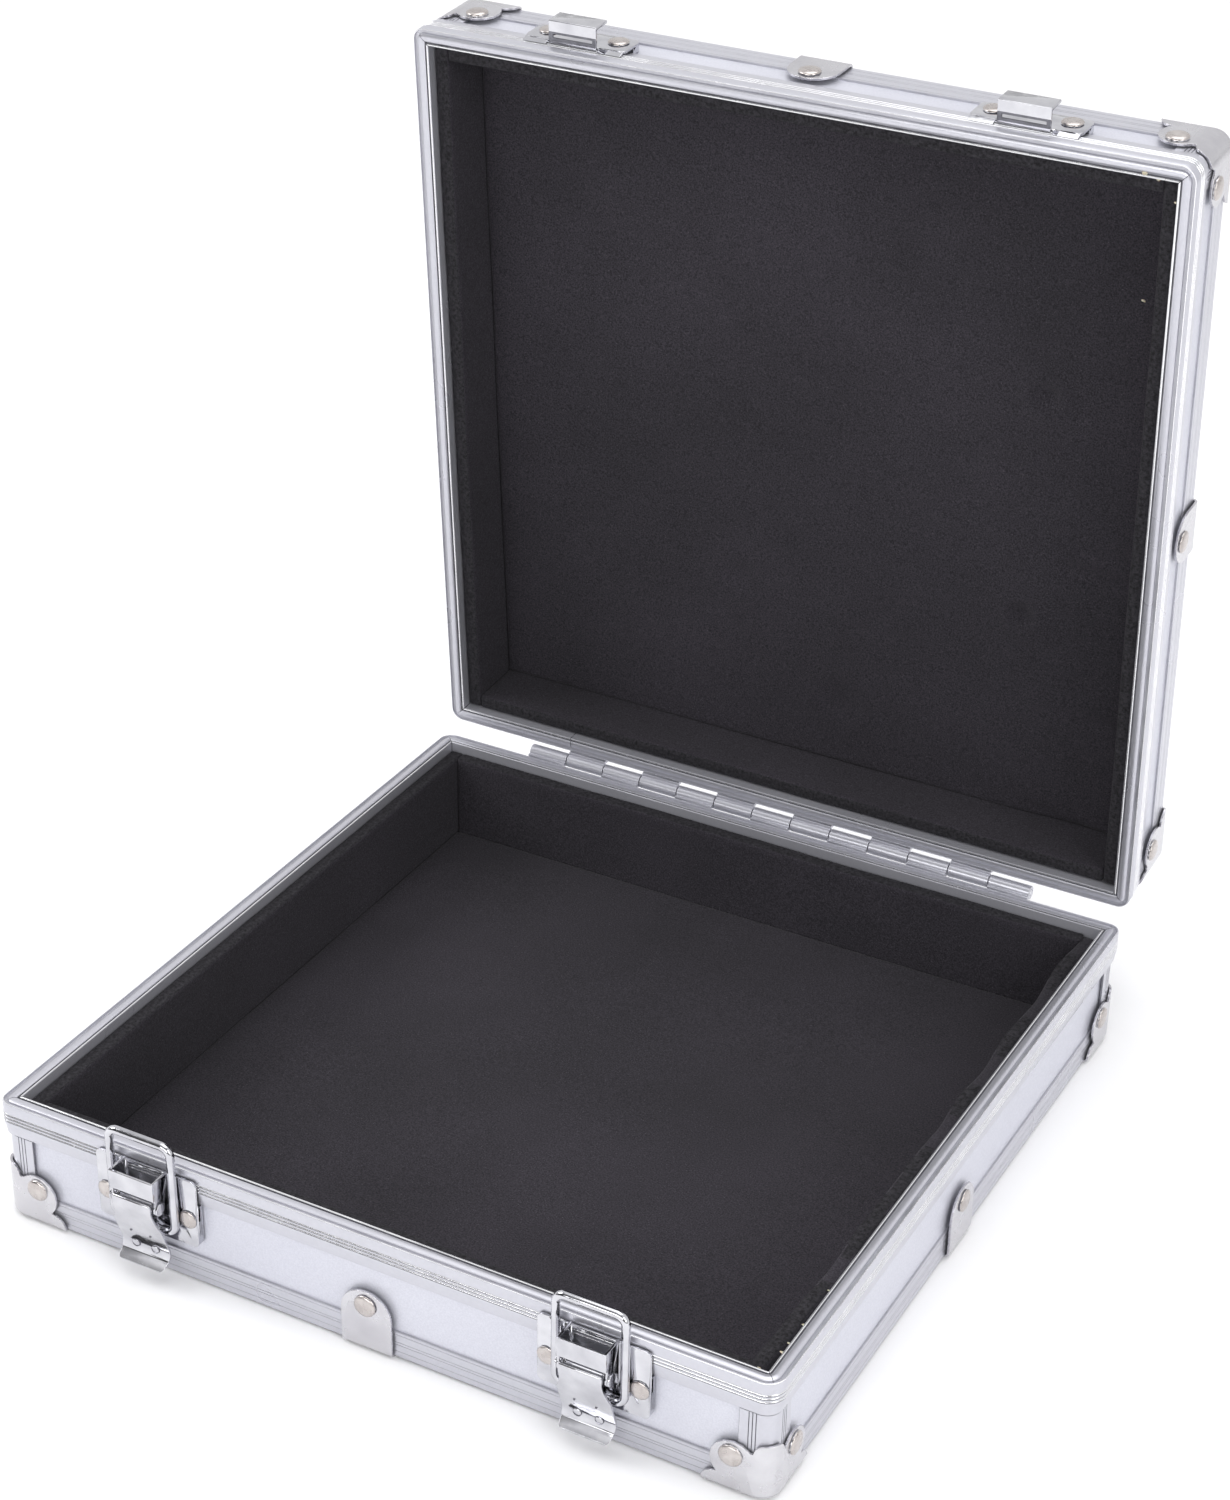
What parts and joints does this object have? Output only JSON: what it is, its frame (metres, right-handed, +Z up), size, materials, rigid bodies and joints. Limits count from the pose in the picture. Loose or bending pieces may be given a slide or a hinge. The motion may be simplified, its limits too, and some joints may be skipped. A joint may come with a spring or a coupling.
{
  "type": "attache case",
  "caption": "Shallow square carrying case of aluminium-faced boards, with corner caps, a piano hinge, draw latches and foam lining, standing open.",
  "frame": {"origin": "centre of the base's underside, on its flat face", "axes": "+X to the right seen from the front, +Y from the latches towards the hinge, +Z up from the base into the open lid"},
  "size_m": [0.2218, 0.2561, 0.264],
  "materials": {
    "board_facing": "fine satin facing sheet on board",
    "aluminium_profile": "satin anodised extrusion",
    "nickelled_steel": "bright nickel plate",
    "foam_lining": "matt open foam"
  },
  "bodies": {
    "base": {"base_panel": "board_facing", "base_lip_frame": "aluminium_profile", "base_foam_sides": "foam_lining", "base_foam_sheet": "foam_lining", "base_wall_front": "board_facing", "base_edge_front": "aluminium_profile", "base_clip_front": "nickelled_steel", "base_wall_rear": "board_facing", "base_edge_rear": "aluminium_profile", "base_wall_left": "board_facing", "base_edge_left": "aluminium_profile", "base_clip_left": "nickelled_steel", "base_wall_right": "board_facing", "base_edge_right": "aluminium_profile", "base_clip_right": "nickelled_steel", "base_post_front_left": "aluminium_profile", "base_cap_front_left": "nickelled_steel", "base_post_front_right": "aluminium_profile", "base_cap_front_right": "nickelled_steel", "base_post_rear_left": "aluminium_profile", "base_cap_rear_left": "nickelled_steel", "base_post_rear_right": "aluminium_profile", "base_cap_rear_right": "nickelled_steel", "hinge_leaf_base": "aluminium_profile", "hinge_pin": "nickelled_steel", "latch_plate_left": "nickelled_steel", "latch_pivot_pin_left": "nickelled_steel", "latch_plate_right": "nickelled_steel", "latch_pivot_pin_right": "nickelled_steel"},
    "lid": {"lid_panel": "board_facing", "lid_lip_frame": "aluminium_profile", "lid_foam_sides": "foam_lining", "lid_foam_sheet": "foam_lining", "lid_wall_front": "board_facing", "lid_edge_front": "aluminium_profile", "lid_clip_front": "nickelled_steel", "lid_wall_rear": "board_facing", "lid_edge_rear": "aluminium_profile", "lid_wall_left": "board_facing", "lid_edge_left": "aluminium_profile", "lid_clip_left": "nickelled_steel", "lid_wall_right": "board_facing", "lid_edge_right": "aluminium_profile", "lid_clip_right": "nickelled_steel", "lid_post_front_left": "aluminium_profile", "lid_cap_front_left": "nickelled_steel", "lid_post_front_right": "aluminium_profile", "lid_cap_front_right": "nickelled_steel", "lid_post_rear_left": "aluminium_profile", "lid_cap_rear_left": "nickelled_steel", "lid_post_rear_right": "aluminium_profile", "lid_cap_rear_right": "nickelled_steel", "hinge_leaf_lid": "aluminium_profile", "lid_catch_left": "nickelled_steel", "lid_catch_right": "nickelled_steel"},
    "lever_left": {"latch_lever_left": "nickelled_steel"},
    "bail_left": {"latch_bail_left": "nickelled_steel"},
    "lever_right": {"latch_lever_right": "nickelled_steel"},
    "bail_right": {"latch_bail_right": "nickelled_steel"}
  },
  "joints": [
    {"name": "lid_hinge", "type": "hinge", "parent": "base", "child": "lid", "pos_m": [0, 0.11251, 0.03535], "axis": [-1, 0, 0], "range_deg": [-86, 0]},
    {"name": "lever_left_pivot", "type": "hinge", "parent": "base", "child": "lever_left", "pos_m": [-0.0632, -0.1144, 0.0247], "axis": [-1, 0, 0], "range_deg": [0, 110]},
    {"name": "bail_left_swing", "type": "hinge", "parent": "lever_left", "child": "bail_left", "pos_m": [-0.0632, -0.1118, 0.0163], "axis": [-1, 0, 0], "range_deg": [-137.5, 0]},
    {"name": "lever_right_pivot", "type": "hinge", "parent": "base", "child": "lever_right", "pos_m": [0.0632, -0.1144, 0.0247], "axis": [-1, 0, 0], "range_deg": [0, 110]},
    {"name": "bail_right_swing", "type": "hinge", "parent": "lever_right", "child": "bail_right", "pos_m": [0.0632, -0.1118, 0.0163], "axis": [-1, 0, 0], "range_deg": [-137.5, 0]}
  ],
  "couplings": [
    {"joint": "bail_left_swing", "follows": "lever_left_pivot", "ratio": -1.25},
    {"joint": "bail_right_swing", "follows": "lever_right_pivot", "ratio": -1.25}
  ]
}
